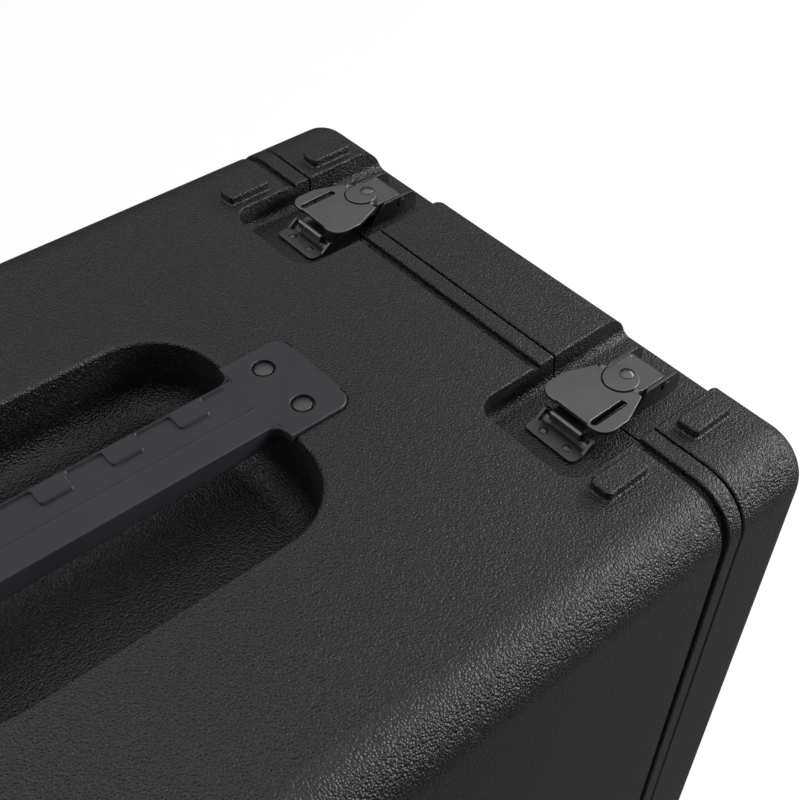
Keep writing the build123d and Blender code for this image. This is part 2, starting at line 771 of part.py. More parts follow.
def hook():
    """Hook plate that slides under the lever: a crank slot at one end and a turned down tip."""
    inner_half = lever_half - lever_cheek_thickness - hook_gap
    y_back = hub_y - hook_back_from_axis
    y_shoulder = -(parting + lever_end_from_parting) - lever_cheek_end_gap + hook_gap
    low = hook_top - sheet
    shank = block(latch_x - inner_half, latch_x + inner_half, y_back, hook_tip_y + sheet, low, hook_top)
    half = hook_width / 2
    blade = block(latch_x - half, latch_x + half, y_shoulder, hook_tip_y + sheet, low, hook_top)
    tip = block(
        latch_x - half, latch_x + half, hook_tip_y, hook_tip_y + sheet, low - hook_tip_drop, hook_top
    )
    body = shank.fuse(blade, tip)
    round_edge = body.edges().filter_by(Axis.X).filter_by_position(Axis.Z, hook_top - 0.01, hook_top + 0.01)
    body = fillet(round_edge.group_by(Axis.Y)[-1], 0.9 * sheet)
    slot_x = 2 * (crank_throw + crank_pin_radius + hook_gap)
    slot_y = 2 * (crank_pin_radius + crank_slot_slack)
    slot = block(
        latch_x - slot_x / 2, latch_x + slot_x / 2,
        hub_y - crank_throw - slot_y / 2, hub_y - crank_throw + slot_y / 2, low - 1, hook_top + 1,
    )
    return body - slot


def rail():
    """Front upper rack rail: an angle with a punched flange, seated on the pocket tubs."""
    length = rack_units * unit_pitch
    y_face = -(half_body - body_rim_depth - rail_behind_rim)
    z_inner = rack_opening / 2
    flange = block(-length / 2, length / 2, y_face, y_face + rail_thickness, z_inner, tub_z)
    leg = block(-length / 2, length / 2, y_face, y_face + rail_leg, tub_z - rail_thickness, tub_z)
    body = flange.fuse(leg)
    holes = []
    for unit in range(rack_units):
        for offset in hole_offsets:
            x = -length / 2 + unit * unit_pitch + offset
            hole = Rot(90, 0, 0) * Cylinder(rail_hole_radius, 3 * rail_thickness)
            holes.append(Pos(x, y_face + rail_thickness / 2, rack_hole_spacing / 2) * hole)
    bore = rail_screw_radius + rivet_clearance
    for x in rail_screw_x:
        holes.append(cylinder_z(bore, tub_z - 2 * rail_thickness, tub_z + 1, x, -rail_screw_y()))
    return body.cut(*holes)


def rail_screw_y():
    """Distance of the rail screws from the middle of the case."""
    return half_body - body_rim_depth - rail_behind_rim - 2 * rail_leg / 3


def rail_screw_places():
    """Places of the rail screws on one side face."""
    return [(x, sign * rail_screw_y()) for x in rail_screw_x for sign in (-1, 1)]


def rail_screw_hole(x, y, face_sign):
    """Screw hole in the tub above, or below, a rail leg."""
    hole = cylinder_z(rail_screw_radius + rivet_clearance, tub_z - 1, tub_z + rail_screw_length, x, y)
    return hole if face_sign > 0 else mirror(hole, Plane.XY)


def rail_screw(x, y, face_sign):
    """Screw that holds a rail leg to a pocket tub."""
    seat = tub_z - rail_thickness
    head = cylinder_z(rail_screw_head_radius, seat - rail_screw_head_height, seat, x, y)
    screw = head + cylinder_z(rail_screw_radius, seat, tub_z + rail_screw_length, x, y)
    return screw if face_sign > 0 else mirror(screw, Plane.XY)


def write_body():
    """Pieces that stay with the body."""
    write("body_shell", body_shell())
    grip = handle()
    write("upper_handle", grip)
    write("lower_handle", mirror(grip, Plane.XY))
    rivets = [handle_rivet(x, y) for x, y in handle_rivet_places()]
    write("handle_rivets", rivets + [mirror(r, Plane.XY) for r in rivets])
    angle = rail()
    for lid, lid_sign in lids.items():
        for face_name, face_sign in faces.items():
            write(f"{lid}_{face_name}_rack_rail", mirrored(angle, 1, lid_sign, face_sign))
            pair = [mirrored(keeper(), s, lid_sign, face_sign) for s in (1, -1)]
            write(f"{lid}_{face_name}_keepers", pair)
    write("rail_screws", [rail_screw(x, y, f) for x, y in rail_screw_places() for f in (1, -1)])
    rivets = [small_rivet(x, y) for x, y in keeper_rivet_places()]
    write("keeper_rivets", [copy for rivet in rivets for copy in all_corners(rivet)])
    write("front_seal", seal())
    write("rear_seal", mirror(seal(), Plane.XZ))


def write_lids():
    """Pieces that stay with each lid."""
    tray = lid_shell()
    rivets = [small_rivet(x, y) for x, y in bracket_rivet_places()]
    for lid, sign in lids.items():
        write(f"{lid}_lid", mirrored(tray, 1, sign, 1))
        for face_name, face_sign in faces.items():
            pair = [mirrored(bracket(), s, sign, face_sign) for s in (1, -1)]
            write(f"{lid}_{face_name}_brackets", pair)
        write(f"{lid}_bracket_rivets", [c for rivet in rivets for c in all_corners(rivet, (sign,))])
        write(f"{lid}_hinge_pins", all_corners(hinge_pin(), (sign,)))


def write_latches():
    """Moving pieces of the eight latches."""
    pieces = {"lever": lever(), "hub": hub(), "wing": wing(), "hook": hook()}
    for lid, lid_sign in lids.items():
        for face_name, face_sign in faces.items():
            for side, side_sign in sides.items():
                for piece, solid in pieces.items():
                    name = f"{lid}_{face_name}_{side}_{piece}"
                    write(name, mirrored(solid, side_sign, lid_sign, face_sign))


os.makedirs("parts", exist_ok=True)
write_body()
write_lids()
write_latches()
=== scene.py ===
import json
import logging
from dataclasses import dataclass, field, replace
from enum import Enum

import bmesh
import bpy
import numpy as np
from mathutils import Matrix, Vector


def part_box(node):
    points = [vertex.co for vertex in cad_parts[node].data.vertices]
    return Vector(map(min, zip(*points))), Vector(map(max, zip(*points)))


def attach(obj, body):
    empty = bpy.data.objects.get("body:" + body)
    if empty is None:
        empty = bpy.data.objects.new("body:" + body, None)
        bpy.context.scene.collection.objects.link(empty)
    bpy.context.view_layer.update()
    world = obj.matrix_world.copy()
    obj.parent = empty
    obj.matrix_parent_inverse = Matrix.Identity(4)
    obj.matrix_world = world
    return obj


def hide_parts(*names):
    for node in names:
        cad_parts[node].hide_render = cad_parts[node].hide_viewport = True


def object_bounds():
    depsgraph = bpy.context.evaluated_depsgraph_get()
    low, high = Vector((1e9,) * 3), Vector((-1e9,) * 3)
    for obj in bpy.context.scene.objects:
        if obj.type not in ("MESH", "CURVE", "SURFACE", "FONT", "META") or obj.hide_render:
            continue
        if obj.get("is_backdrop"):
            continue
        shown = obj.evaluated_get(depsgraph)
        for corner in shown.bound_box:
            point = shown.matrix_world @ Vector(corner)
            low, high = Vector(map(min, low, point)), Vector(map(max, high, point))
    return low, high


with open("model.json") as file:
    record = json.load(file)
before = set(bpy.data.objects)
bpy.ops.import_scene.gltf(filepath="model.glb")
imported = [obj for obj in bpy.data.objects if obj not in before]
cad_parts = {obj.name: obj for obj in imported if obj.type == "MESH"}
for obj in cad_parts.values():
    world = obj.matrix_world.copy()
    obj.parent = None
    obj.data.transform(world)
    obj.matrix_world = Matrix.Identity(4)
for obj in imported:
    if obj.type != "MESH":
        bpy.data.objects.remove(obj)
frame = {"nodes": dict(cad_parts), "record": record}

logging.basicConfig(level=logging.INFO, format="%(name)s: %(message)s")
LOG = logging.getLogger("rack_case")

MM = 0.001              # metres in a millimetre
CASE_MIDDLE = 285.5     # height of the middle of the case, in millimetres
MERGE_DISTANCE = 1e-6   # metres within which two points are one
SMOOTH_TURN = 0.6       # radians from which an edge of a soft form is sharp
PRESSED_TURN = 0.25     # radians from which an edge of pressed steel is sharp
Colour = tuple[float, float, float]


class Slot(Enum):
    """Material slots of the record that the pieces take their finish from."""

    SHELL = "moulded_shell"
    GRIP = "grip_plastic"
    LATCH = "latch_metal"
    FASTENER = "fastener_metal"
    RAIL = "rail_steel"
    SEAL = "seal_rubber"


class Value:
    """One number in a node tree: an output socket on which Python operators add Math nodes."""

    def __init__(self, tree: "Tree", socket: bpy.types.NodeSocket) -> None:
        """Keep the socket and the tree it belongs to.

        Args:
            tree: The tree that new nodes go into.
            socket: The output socket that carries the number.
        """
        self.tree = tree
        self.socket = socket

    def _math(self, operation: str, first: "Value | float", second: "Value | float") -> "Value":
        """Add one Math node.

        Args:
            operation: Blender's name for the operation.
            first: The upper operand.
            second: The lower operand.

        Returns:
            The result as a new value.
        """
        inputs = {0: first, 1: second}
        return self.tree.node("ShaderNodeMath", {"operation": operation}, inputs)["Value"]

    def __add__(self, other: "Value | float") -> "Value":
        """Sum."""
        return self._math("ADD", self, other)

    def __radd__(self, other: "Value | float") -> "Value":
        """Sum with the number on the left."""
        return self._math("ADD", other, self)

    def __sub__(self, other: "Value | float") -> "Value":
        """Difference."""
        return self._math("SUBTRACT", self, other)

    def __rsub__(self, other: "Value | float") -> "Value":
        """Difference with the number on the left."""
        return self._math("SUBTRACT", other, self)

    def __mul__(self, other: "Value | float") -> "Value":
        """Product."""
        return self._math("MULTIPLY", self, other)

    def __rmul__(self, other: "Value | float") -> "Value":
        """Product with the number on the left."""
        return self._math("MULTIPLY", other, self)

    def clamped(self, low: float, high: float) -> "Value":
        """Value mapped from a range onto 0 to 1 and held there.

        Args:
            low: The number that becomes 0.
            high: The number that becomes 1.

        Returns:
            The mapped value.
        """
        inputs = {0: self, 1: low, 2: high}
        return self.tree.node("ShaderNodeMapRange", {"clamp": True}, inputs)["Result"]


class Tree:
    """Emptied node tree of a material or world, with one method that adds any node."""

    def __init__(self, nodes: bpy.types.NodeTree, output: str) -> None:
        """Empty the tree and add its output.

        Args:
            nodes: The node tree.
            output: Blender's type name of the output node.
        """
        self.tree = nodes
        self.tree.nodes.clear()
        self.output = self.tree.nodes.new(output)

    def node(
        self, kind: str, settings: dict[str, object], inputs: dict[int | str, object]
    ) -> dict[str, Value]:
        """Add a node, set it up, and fill or link its inputs.

        Args:
            kind: Blender's type name of the node.
            settings: Attributes of the node, set before its sockets.
            inputs: For each socket, by name or number, a value or a plain number or colour.

        Returns:
            The node's enabled outputs by name.
        """
        made = self.tree.nodes.new(kind)
        for name, setting in settings.items():
            setattr(made, name, setting)
        for key, item in inputs.items():
            if isinstance(item, Value):
                self.tree.links.new(item.socket, made.inputs[key])
            else:
                made.inputs[key].default_value = item
        return {socket.name: Value(self, socket) for socket in made.outputs if socket.enabled}

    def finish(self, outputs: dict[str, Value]) -> None:
        """Link the only output of the last node to the surface.

        Args:
            outputs: Outputs of the last node.
        """
        (last,) = outputs.values()
        self.tree.links.new(last.socket, self.output.inputs["Surface"])


class Shader(Tree):
    """Node tree of one material."""

    FIRST_COLOUR = 6    # numbers of the colour sockets of a Mix node
    SECOND_COLOUR = 7

    def __init__(self, name: str) -> None:
        """Make an empty material with a surface output.

        Args:
            name: The material's name.
        """
        self.material = bpy.data.materials.new(name)
        self.material.use_nodes = True
        super().__init__(self.material.node_tree, "ShaderNodeOutputMaterial")

    def position(self) -> Value:
        """Object coordinates of the shaded point."""
        return self.node("ShaderNodeTexCoord", {}, {})["Object"]

    def noise(self, at: Value, scale: float, detail: float, roughness: float = 0.5) -> Value:
        """Noise between 0 and 1.

        Args:
            at: The coordinates.
            scale: Cells per metre.
            detail: Octaves.
            roughness: Share of the fine octaves.

        Returns:
            The noise factor.
        """
        inputs = {"Vector": at, "Scale": scale, "Detail": detail, "Roughness": roughness}
        return self.node("ShaderNodeTexNoise", {}, inputs)["Fac"]

    def blend(self, factor: Value, low: Colour, high: Colour) -> Value:
        """Colour between two colours.

        Args:
            factor: 0 for the first colour and 1 for the second.
            low: The first colour.
            high: The second colour.

        Returns:
            The mixed colour.
        """
        inputs = {0: factor, self.FIRST_COLOUR: (*low, 1.0), self.SECOND_COLOUR: (*high, 1.0)}
        return self.node("ShaderNodeMix", {"data_type": "RGBA"}, inputs)["Result"]

    def bump(self, height: Value, distance: float, edge_round: float = 0.0) -> Value:
        """Normal bent by a height, over edges that look slightly rounded.

        Args:
            height: Height between 0 and 1.
            distance: Real height of 1, in metres.
            edge_round: Radius that the sharp edges seem to have, in metres.

        Returns:
            The bent normal.
        """
        inputs = {"Height": height, "Distance": distance, "Strength": 1.0}
        if edge_round:
            bevel = self.node("ShaderNodeBevel", {"samples": 4}, {"Radius": edge_round})
            inputs["Normal"] = bevel["Normal"]
        return self.node("ShaderNodeBump", {}, inputs)["Normal"]

    def surface(self, **inputs: object) -> bpy.types.Material:
        """Close the tree with a Principled shader.

        Args:
            **inputs: Socket names, with underscores for spaces, and what they get.

        Returns:
            The finished material.
        """
        named = {name.replace("_", " "): item for name, item in inputs.items()}
        self.finish(self.node("ShaderNodeBsdfPrincipled", {}, named))
        return self.material


@dataclass(frozen=True)
class PebbledPlastic:
    """Moulded plastic with the fine pebble grain of its mould."""

    name: str = "pebbled_plastic"
    # dark is the valleys; light is mostly the painted sparkle on the pebble tips
    dark: Colour = (0.002, 0.002, 0.002)
    light: Colour = (0.032, 0.032, 0.032)
    pebbles_per_metre: float = 850.0
    speck_ratio: float = 1.2
    drift_per_metre: float = 9.0
    pebble_height: float = 0.6 * MM
    pebble_share: float = 0.8
    speck_share: float = 0.5
    # painted sparkle: the speck noise, clamped, lightens the raised pebble tips
    tip_sparkle_from: float = 0.45
    tip_sparkle_to: float = 0.68
    tip_sparkle_share: float = 0.85
    roughness: float = 0.27
    roughness_spread: float = 0.08

    def material(self) -> bpy.types.Material:
        """Build the material.

        Returns:
            Plastic whose glossy pebbles stand proud of their valleys, some tips painted lighter as
            a painted sparkle.
        """
        shader = Shader(self.name)
        at = shader.position()
        inputs = {"Vector": at, "Scale": self.pebbles_per_metre, "Randomness": 1.0}
        cells = shader.node("ShaderNodeTexVoronoi", {"feature": "F1"}, inputs)["Distance"]
        speck = shader.noise(at, self.speck_ratio * self.pebbles_per_metre, 1.0)
        drift = shader.noise(at, self.drift_per_metre, 3.0)
        height = (1.0 - cells) * self.pebble_share + speck * self.speck_share
        # painted sparkle: lighter specks on the raised pebble tips, mixed with a slow random drift
        # of tone
        rubbed = speck.clamped(self.tip_sparkle_from, self.tip_sparkle_to)
        tone = rubbed * self.tip_sparkle_share + drift * (1.0 - self.tip_sparkle_share)
        colour = shader.blend(tone, self.dark, self.light)
        rough = self.roughness + drift * self.roughness_spread + cells * self.roughness_spread
        normal = shader.bump(height, self.pebble_height)
        return shader.surface(Base_Color=colour, Roughness=rough, Normal=normal)


@dataclass(frozen=True)
class SatinPlastic:
    """Smooth satin plastic of the grip."""

    name: str = "satin_plastic"
    dark: Colour = (0.023, 0.022, 0.030)
    light: Colour = (0.032, 0.031, 0.040)
    clouds_per_metre: float = 28.0
    ripples_per_metre: float = 2200.0
    ripple_height: float = 0.02 * MM
    patch_from: float = 0.3
    patch_to: float = 0.7
    roughness: float = 0.37
    cloud_roughness: float = 0.05
    ripple_roughness: float = 0.06

    def material(self) -> bpy.types.Material:
        """Build the material.

        Returns:
            Plastic with a faint ripple and faint rubbed patches.
        """
        shader = Shader(self.name)
        at = shader.position()
        cloud = shader.noise(at, self.clouds_per_metre, 4.0)
        ripple = shader.noise(at, self.ripples_per_metre, 2.0)
        colour = shader.blend(cloud.clamped(self.patch_from, self.patch_to), self.dark, self.light)
        rough = self.roughness + cloud * self.cloud_roughness + ripple * self.ripple_roughness
        normal = shader.bump(ripple, self.ripple_height)
        return shader.surface(Base_Color=colour, Roughness=rough, Normal=normal)


@dataclass(frozen=True)
class CoatedSteel:
    """Sheet steel with a thin coat."""

    name: str
    dark: Colour
    light: Colour
    metallic: float = 0.93
    roughness: float = 0.24
    grain_per_metre: float = 900.0
    edge_round: float = 0.55 * MM
    clouds_per_metre: float = 60.0
    cloud_share: float = 0.6
    grain_share: float = 0.4
    tone_from: float = 0.3
    tone_to: float = 0.7
    grain_roughness: float = 0.12
    grain_height: float = 0.015 * MM

    def material(self) -> bpy.types.Material:
        """Build the material.

        Returns:
            Metal with softened edges, a fine orange-peel grain and slow changes of tone.
        """
        shader = Shader(self.name)
        at = shader.position()
        cloud = shader.noise(at, self.clouds_per_metre, 4.0)
        grain = shader.noise(at, self.grain_per_metre, 3.0, 0.6)
        mottle = cloud * self.cloud_share + grain * self.grain_share
        colour = shader.blend(mottle.clamped(self.tone_from, self.tone_to), self.dark, self.light)
        rough = self.roughness + grain * self.grain_roughness
        normal = shader.bump(grain, self.grain_height, self.edge_round)
        metal = self.metallic
        return shader.surface(Base_Color=colour, Roughness=rough, Metallic=metal, Normal=normal)


@dataclass(frozen=True)
class Rubber:
    """Soft black rubber."""

    name: str = "seal_rubber"
    dark: Colour = (0.010, 0.010, 0.010)
    light: Colour = (0.018, 0.018, 0.018)
    blooms_per_metre: float = 240.0
    bloom_from: float = 0.35
    bloom_to: float = 0.7
    bloom_height: float = 0.05 * MM
    roughness: float = 0.72
    bloom_roughness: float = 0.12

    def material(self) -> bpy.types.Material:
        """Build the material.

        Returns:
            Matt rubber with a faint bloom.
        """
        shader = Shader(self.name)
        bloom = shader.noise(shader.position(), self.blooms_per_metre, 4.0)
        colour = shader.blend(bloom.clamped(self.bloom_from, self.bloom_to), self.dark, self.light)
        rough = self.roughness + bloom * self.bloom_roughness
        normal = shader.bump(bloom, self.bloom_height)
        return shader.surface(Base_Color=colour, Roughness=rough, Normal=normal)


LATCH_STEEL = CoatedSteel("latch_steel", (0.122, 0.122, 0.124), (0.15, 0.15, 0.152))
HUB_STEEL = replace(LATCH_STEEL, name="hub_steel", edge_round=0.15 * MM)
# painted shade: a dimmer copy of the latch steel for the keepers, brackets, their rivets and the
# hinge pins under the latches
SHADED_PLATE_STEEL = CoatedSteel("shaded_plate_steel", (0.07, 0.07, 0.072), (0.09, 0.09, 0.092))
RIVET_STEEL = CoatedSteel("rivet_steel", (0.08, 0.08, 0.082), (0.10, 0.10, 0.102), roughness=0.30)
RAIL_COAT = CoatedSteel("rail_coat", (0.012, 0.012, 0.012), (0.02, 0.02, 0.02), 0.1, 0.39, 1400.0)


@dataclass
class Wardrobe:
    """The finishes of the case, one material for each slot."""

    materials: dict[Slot, bpy.types.Material] = field(default_factory=dict)
    # nodes that wear the painted shade steel
    painted_shade_nodes: tuple[str, ...] = (
        "keepers",
        "brackets",
        "keeper_rivets",
        "bracket_rivets",
        "hinge_pins",
    )

    def build(self) -> None:
        """Make every material once."""
        self.materials = {
            Slot.SHELL: PebbledPlastic().material(),
            Slot.GRIP: SatinPlastic().material(),
            Slot.LATCH: LATCH_STEEL.material(),
            Slot.FASTENER: RIVET_STEEL.material(),
            Slot.RAIL: RAIL_COAT.material(),
            Slot.SEAL: Rubber().material(),
        }

    def dress_nodes(self) -> None:
        """Give every node the material of its slot, but a dimmer copy of the steel as painted shade
        on the parts under a latch.
        """
        shaded_plate_steel = SHADED_PLATE_STEEL.material()
        for part in frame["record"]["subparts"]:
            slot = Slot(part["material_slot"])
            node = frame["nodes"][part["node"]]
            # parts under a latch get the painted shade steel
            in_painted_shade = part["node"].endswith(self.painted_shade_nodes)
            node.data.materials.clear()
            node.data.materials.append(shaded_plate_steel if in_painted_shade else self.materials[slot])
            LOG.info("%s wears %s", part["node"], slot.value)


def smooth_step(value: np.ndarray, low: float, high: float) -> np.ndarray:
    """Rise from 0 at low to 1 at high, as three times the square less twice the cube."""
    part = np.clip((value - low) / (high - low), 0.0, 1.0)
    return part * part * (3.0 - 2.0 * part)


def rounded_box(
    x: np.ndarray, y: np.ndarray, half_x: float, half_y: float, radius: float
) -> np.ndarray:
    """Distance to the edge of a rounded rectangle about the origin, negative inside.

    The rectangle shrunk by the radius gives the length of the outside overshoot, plus the larger
    inside one, less the radius.

    Args:
        x: Places across.
        y: Places along.
        half_x: Half of its size across.
        half_y: Half of its size along.
        radius: Radius of its corners.

    Returns:
        Distance at each place.
    """
    over_x = np.abs(x) - half_x + radius
    over_y = np.abs(y) - half_y + radius
    outside = np.hypot(np.maximum(over_x, 0.0), np.maximum(over_y, 0.0))
    return outside + np.minimum(np.maximum(over_x, over_y), 0.0) - radius


@dataclass
class CarryingHandle:
    """Carrying handle: a bar between two end plates, with a stepped panel sunk in its top.

    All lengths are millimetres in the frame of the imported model.
    """

    # outline
    top: float = 567.5
    bar_half_width: float = 20.3
    bar_half_length: float = 104.0
    bar_bottom: float = 552.5
    plate_bottom: float = 562.5
    plate_half_width: float = 31.25
    plate_inner: float = 105.0
    plate_outer: float = 144.0
    plate_corner: float = 9.0
    neck_radius: float = 8.0
    edge_round: float = 1.2
    underside_round: float = 4.5
    # panel with its lip, groove and teeth
    panel_depth: float = 1.1
    panel_edge: float = 0.5
    panel_half_length: float = 103.0
    panel_fade: float = 5.0
    lip_height: float = 0.34
    lip_offset: float = 0.55
    lip_width: float = 0.42
    groove_offset: float = 0.55
    groove_depth: float = 0.7
    line_x: float = -4.0
    inner_x: float = 7.0
    outer_x: float = 18.0
    tooth_length: float = 17.7
    tooth_pitch: float = 37.7
    tooth_reach: float = 2.0
    tooth_overrun: float = 10.0
    corner_round: float = 2.0
    # sinks of the rivets
    rivet_x: float = 16.5
    rivet_y: float = 122.8
    sink_radius: float = 6.25
    sink_depth: float = 1.0
    sink_slope: tuple[float, float] = (-0.3, 0.5)
    gap: float = 1.05
    gap_depth: float = 2.6
    flare: float = 0.3
    tool_height: float = 1.0
    # spacing of the mesh
    columns: int = 88
    least_column: float = 0.06
    line_reach: float = 1.6
    line_columns: int = 15
    plate_start: float = 1.5
    plate_end: float = 1.3
    plate_step: float = 0.5
    bar_step: float = 1.0
    side_reach: float = 2.5
    fine_step: float = 0.25
    tiny: float = 1e-4
    arc_points: int = 6
    end_steps: tuple[float, ...] = (0.0, 0.1, 0.3, 0.6, 0.9, 1.2)
    edge_steps: tuple[float, ...] = (0.0, 0.08, 0.25, 0.5, 0.8)

    def half_width(self, y: np.ndarray) -> np.ndarray:
        """Half width of the outline: the bar, a hollow neck quarter circle, then the plate.

        Args:
            y: Places along the handle.

        Returns:
            Half width at each place.
        """
        along = np.abs(y)
        neck = np.clip(along - (self.plate_inner - self.neck_radius), 0.0, self.neck_radius)
        bar = self.bar_half_width + self.neck_radius - np.sqrt(self.neck_radius**2 - neck**2)
        corner = np.clip(along - (self.plate_outer - self.plate_corner), 0.0, self.plate_corner)
        inner = self.plate_half_width - self.plate_corner
        plate = inner + np.sqrt(self.plate_corner**2 - corner**2)
        return np.where(along > self.plate_inner, plate, bar)

    def depth_inside(self, x: np.ndarray, y: np.ndarray) -> np.ndarray:
        """Distance from the outline inwards: a rounded union of the bar and the nearer plate.

        Args:
            x: Places across.
            y: Places along.

        Returns:
            Distance, 0 on the outline.
        """
        middle = (self.plate_inner + self.plate_outer) / 2
        half = (self.plate_outer - self.plate_inner) / 2
        along = np.abs(y) - middle
        sharp = rounded_box(x, along, self.plate_half_width, half, 0.0)
        soft = rounded_box(x, along, self.plate_half_width, half, self.plate_corner)
        plate = np.where(along > 0, soft, sharp)
        bar = np.abs(x) - self.bar_half_width
        radius = self.neck_radius
        corner = np.hypot(np.maximum(radius - bar, 0.0), np.maximum(radius - plate, 0.0))
        united = np.maximum(radius, np.minimum(bar, plate)) - corner
        united = np.where((bar < 0) | (plate < 0), np.minimum(bar, plate), united)
        return np.maximum(-united, 0.0)

    def panel(self, x: np.ndarray, y: np.ndarray) -> np.ndarray:
        """Depth of the sunken panel: a strip less a row of teeth, with rounded corners and a lip.

        The teeth are rounded boxes that stand in from the outer side; the strip's edge meets them
        in a rounded intersection. The depth rises over a short edge and fades at both ends. The
        lip is a low bell curve just outside the edge, and the groove along the straight edge is
        another, just inside it.

        Args:
            x: Places across.
            y: Places along.

        Returns:
            Depth below the top.
        """
        tooth = np.clip(np.round(y / self.tooth_pitch), -self.tooth_reach, self.tooth_reach)
        reach = self.outer_x + self.tooth_overrun - self.inner_x
        centre = self.inner_x + reach / 2
        half = self.tooth_length / 2
        radius = self.corner_round
        teeth = rounded_box(x - centre, y - tooth * self.tooth_pitch, reach / 2, half, radius)
        strip = np.maximum(self.line_x - x, x - self.outer_x)
        corner = np.hypot(np.maximum(radius + strip, 0.0), np.maximum(radius - teeth, 0.0))
        edge = np.minimum(-radius, np.maximum(strip, -teeth)) + corner
        room = self.panel_half_length - np.abs(y)
        sunk = smooth_step(-edge, -self.panel_edge / 2, self.panel_edge / 2)
        ends = np.clip(room, 0.0, 1.0)
        lip = np.exp(-(((edge - self.lip_offset) / self.lip_width) ** 2)) * ends
        groove = np.exp(-(((x - self.line_x - self.groove_offset) / self.lip_width) ** 2)) * ends
        depth = self.panel_depth * np.clip(room / self.panel_fade, 0.0, 1.0) * sunk
        return depth - self.lip_height * lip + self.groove_depth * groove

    def height(self, x: np.ndarray, y: np.ndarray) -> np.ndarray:
        """Height of the top: flat, less the round of its edge, the panel and the rivet sinks.

        The edge falls by the radius less the height of a circle of that radius.

        Args:
            x: Places across.
            y: Places along.

        Returns:
            Heights.
        """
        inside = np.minimum(self.depth_inside(x, y), self.edge_round)
        fall = self.edge_round - np.sqrt(self.edge_round**2 - (self.edge_round - inside) ** 2)
        away = np.hypot(np.abs(x) - self.rivet_x, np.abs(y) - self.rivet_y)
        sink = self.sink_depth * smooth_step(self.sink_radius - away, *self.sink_slope)
        return self.top - fall - self.panel(x, y) - sink

    def rows(self) -> np.ndarray:
        """Places of the rows along the handle, close together at ends, steps and tooth sides.

        Returns:
            Rising places, the same on both sides of the middle.
        """
        near_end = np.array(self.end_steps)
        ends = [self.bar_half_length - self.tiny, self.bar_half_length + self.tiny]
        steps = np.array([*ends, self.plate_inner - self.tiny])
        plate_from = self.plate_inner + self.plate_start
        plate = np.arange(plate_from, self.plate_outer - self.plate_end, self.plate_step)
        bar = np.arange(0.0, self.plate_inner - self.bar_step, self.bar_step)
        near_side = np.arange(-self.side_reach, self.side_reach + 0.1, self.fine_step)
        teeth = np.arange(0.0, self.tooth_reach + 1.0)[:, None] * self.tooth_pitch
        half_tooth = self.tooth_length / 2
        sides = np.concatenate([teeth - half_tooth, teeth + half_tooth], axis=1)
        fine = (sides[:, :, None] + near_side).ravel()
        edges = [self.plate_outer - near_end, self.plate_inner + near_end + self.tiny]
        half = np.sort(np.concatenate([bar, fine[fine > 0], steps, plate, *edges]))
        half = half[np.concatenate([[True], np.diff(half) > self.tiny])]
        return np.concatenate([-half[:0:-1], half])

    def inner_columns(self) -> np.ndarray:
        """Places across, close together at the panel's edges.

        Returns:
            Rising shares of the half width, from -1 to 1.
        """
        reach = self.bar_half_width - self.edge_round
        near = np.linspace(-self.line_reach, self.line_reach, self.line_columns)
        lines = np.array([self.line_x, self.inner_x, self.outer_x])[:, None] + near
        even = np.linspace(-reach, reach, self.columns)
        places = np.sort(np.concatenate([even, lines.ravel()]))
        places = places[(places >= -reach) & (places <= reach)]
        keep = np.concatenate([[True], np.diff(places) > self.least_column])
        keep[-1] = True
        return places[keep] / reach

    def section(self, y: np.ndarray) -> tuple[np.ndarray, np.ndarray]:
        """Closed cross-sections: the top from side to side, then round the underside and back.

        Args:
            y: Rows.

        Returns:
            Places across and heights, one row of points for each section.
        """
        wide = self.half_width(y)[:, None]
        near_edge = np.array(self.edge_steps)[None, :]
        inner = self.inner_columns()[None, :] * (wide - self.edge_round)
        across = np.concatenate([-wide + near_edge, inner, wide - near_edge[:, ::-1]], axis=1)
        heights = self.height(across, y[:, None])
        bar = (np.abs(y) < self.bar_half_length)[:, None]
        radius = np.where(bar, self.underside_round, 0.0)
        bottom = np.where(bar, self.bar_bottom, self.plate_bottom)
        turn = np.linspace(0.0, np.pi / 2, self.arc_points)[None, :]
        arc_x = self.bar_half_width - radius + radius * np.cos(turn)
        arc_z = bottom + radius - radius * np.sin(turn)
        plate_z = np.full_like(wide, self.plate_bottom)
        under_x = np.concatenate([wide, arc_x, -arc_x[:, ::-1], -wide], axis=1)
        under_z = np.concatenate([plate_z, arc_z, arc_z[:, ::-1], plate_z], axis=1)
        return np.concatenate([across, under_x], axis=1), np.concatenate([heights, under_z], axis=1)

    def sink_tools(self, sign: float) -> list[bpy.types.Object]:
        """Rings that open a deep gap with a flared rim round each rivet.

        Args:
            sign: 1 for the upper face and -1 for the lower.

        Returns:
            The tools.
        """
        deep, proud = -self.gap_depth, self.tool_height
        grown = np.array([-self.gap, 0.0, 0.0, self.flare, self.flare, -self.gap])
        radii = self.sink_radius + grown
        levels = np.array([deep, deep, -self.flare, 0.0, proud, proud])
        upright = CASE_MIDDLE + sign * (self.top + levels - CASE_MIDDLE)
        tools = []
        for x in (-self.rivet_x, self.rivet_x):
            for y in (-self.rivet_y, self.rivet_y):
                ring = turned(radii, upright, x, y) * MM
                tools.append(tube_piece("sink_tool", ring, None, closed=True))
        return tools

    def build(self, name: str, sign: float, node: str, material: bpy.types.Material) -> None:
        """Make one handle and let it stand for its node.

        Args:
            name: Name of the piece.
            sign: 1 for the upper face and -1 for the lower.
            node: The node it replaces.
            material: Its finish.
        """
        y = self.rows()
        x, z = self.section(y)
        z = np.where(sign > 0, z, 2 * CASE_MIDDLE - z)
        points = np.stack([x, np.broadcast_to(y[:, None], x.shape), z], axis=-1) * MM
        rough = tube_piece(name + "_blank", points, material)
        piece = carved(name, rough.data, self.sink_tools(sign), material, SMOOTH_TURN)
        bpy.data.objects.remove(rough)
        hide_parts(node)
        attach(piece, "case")


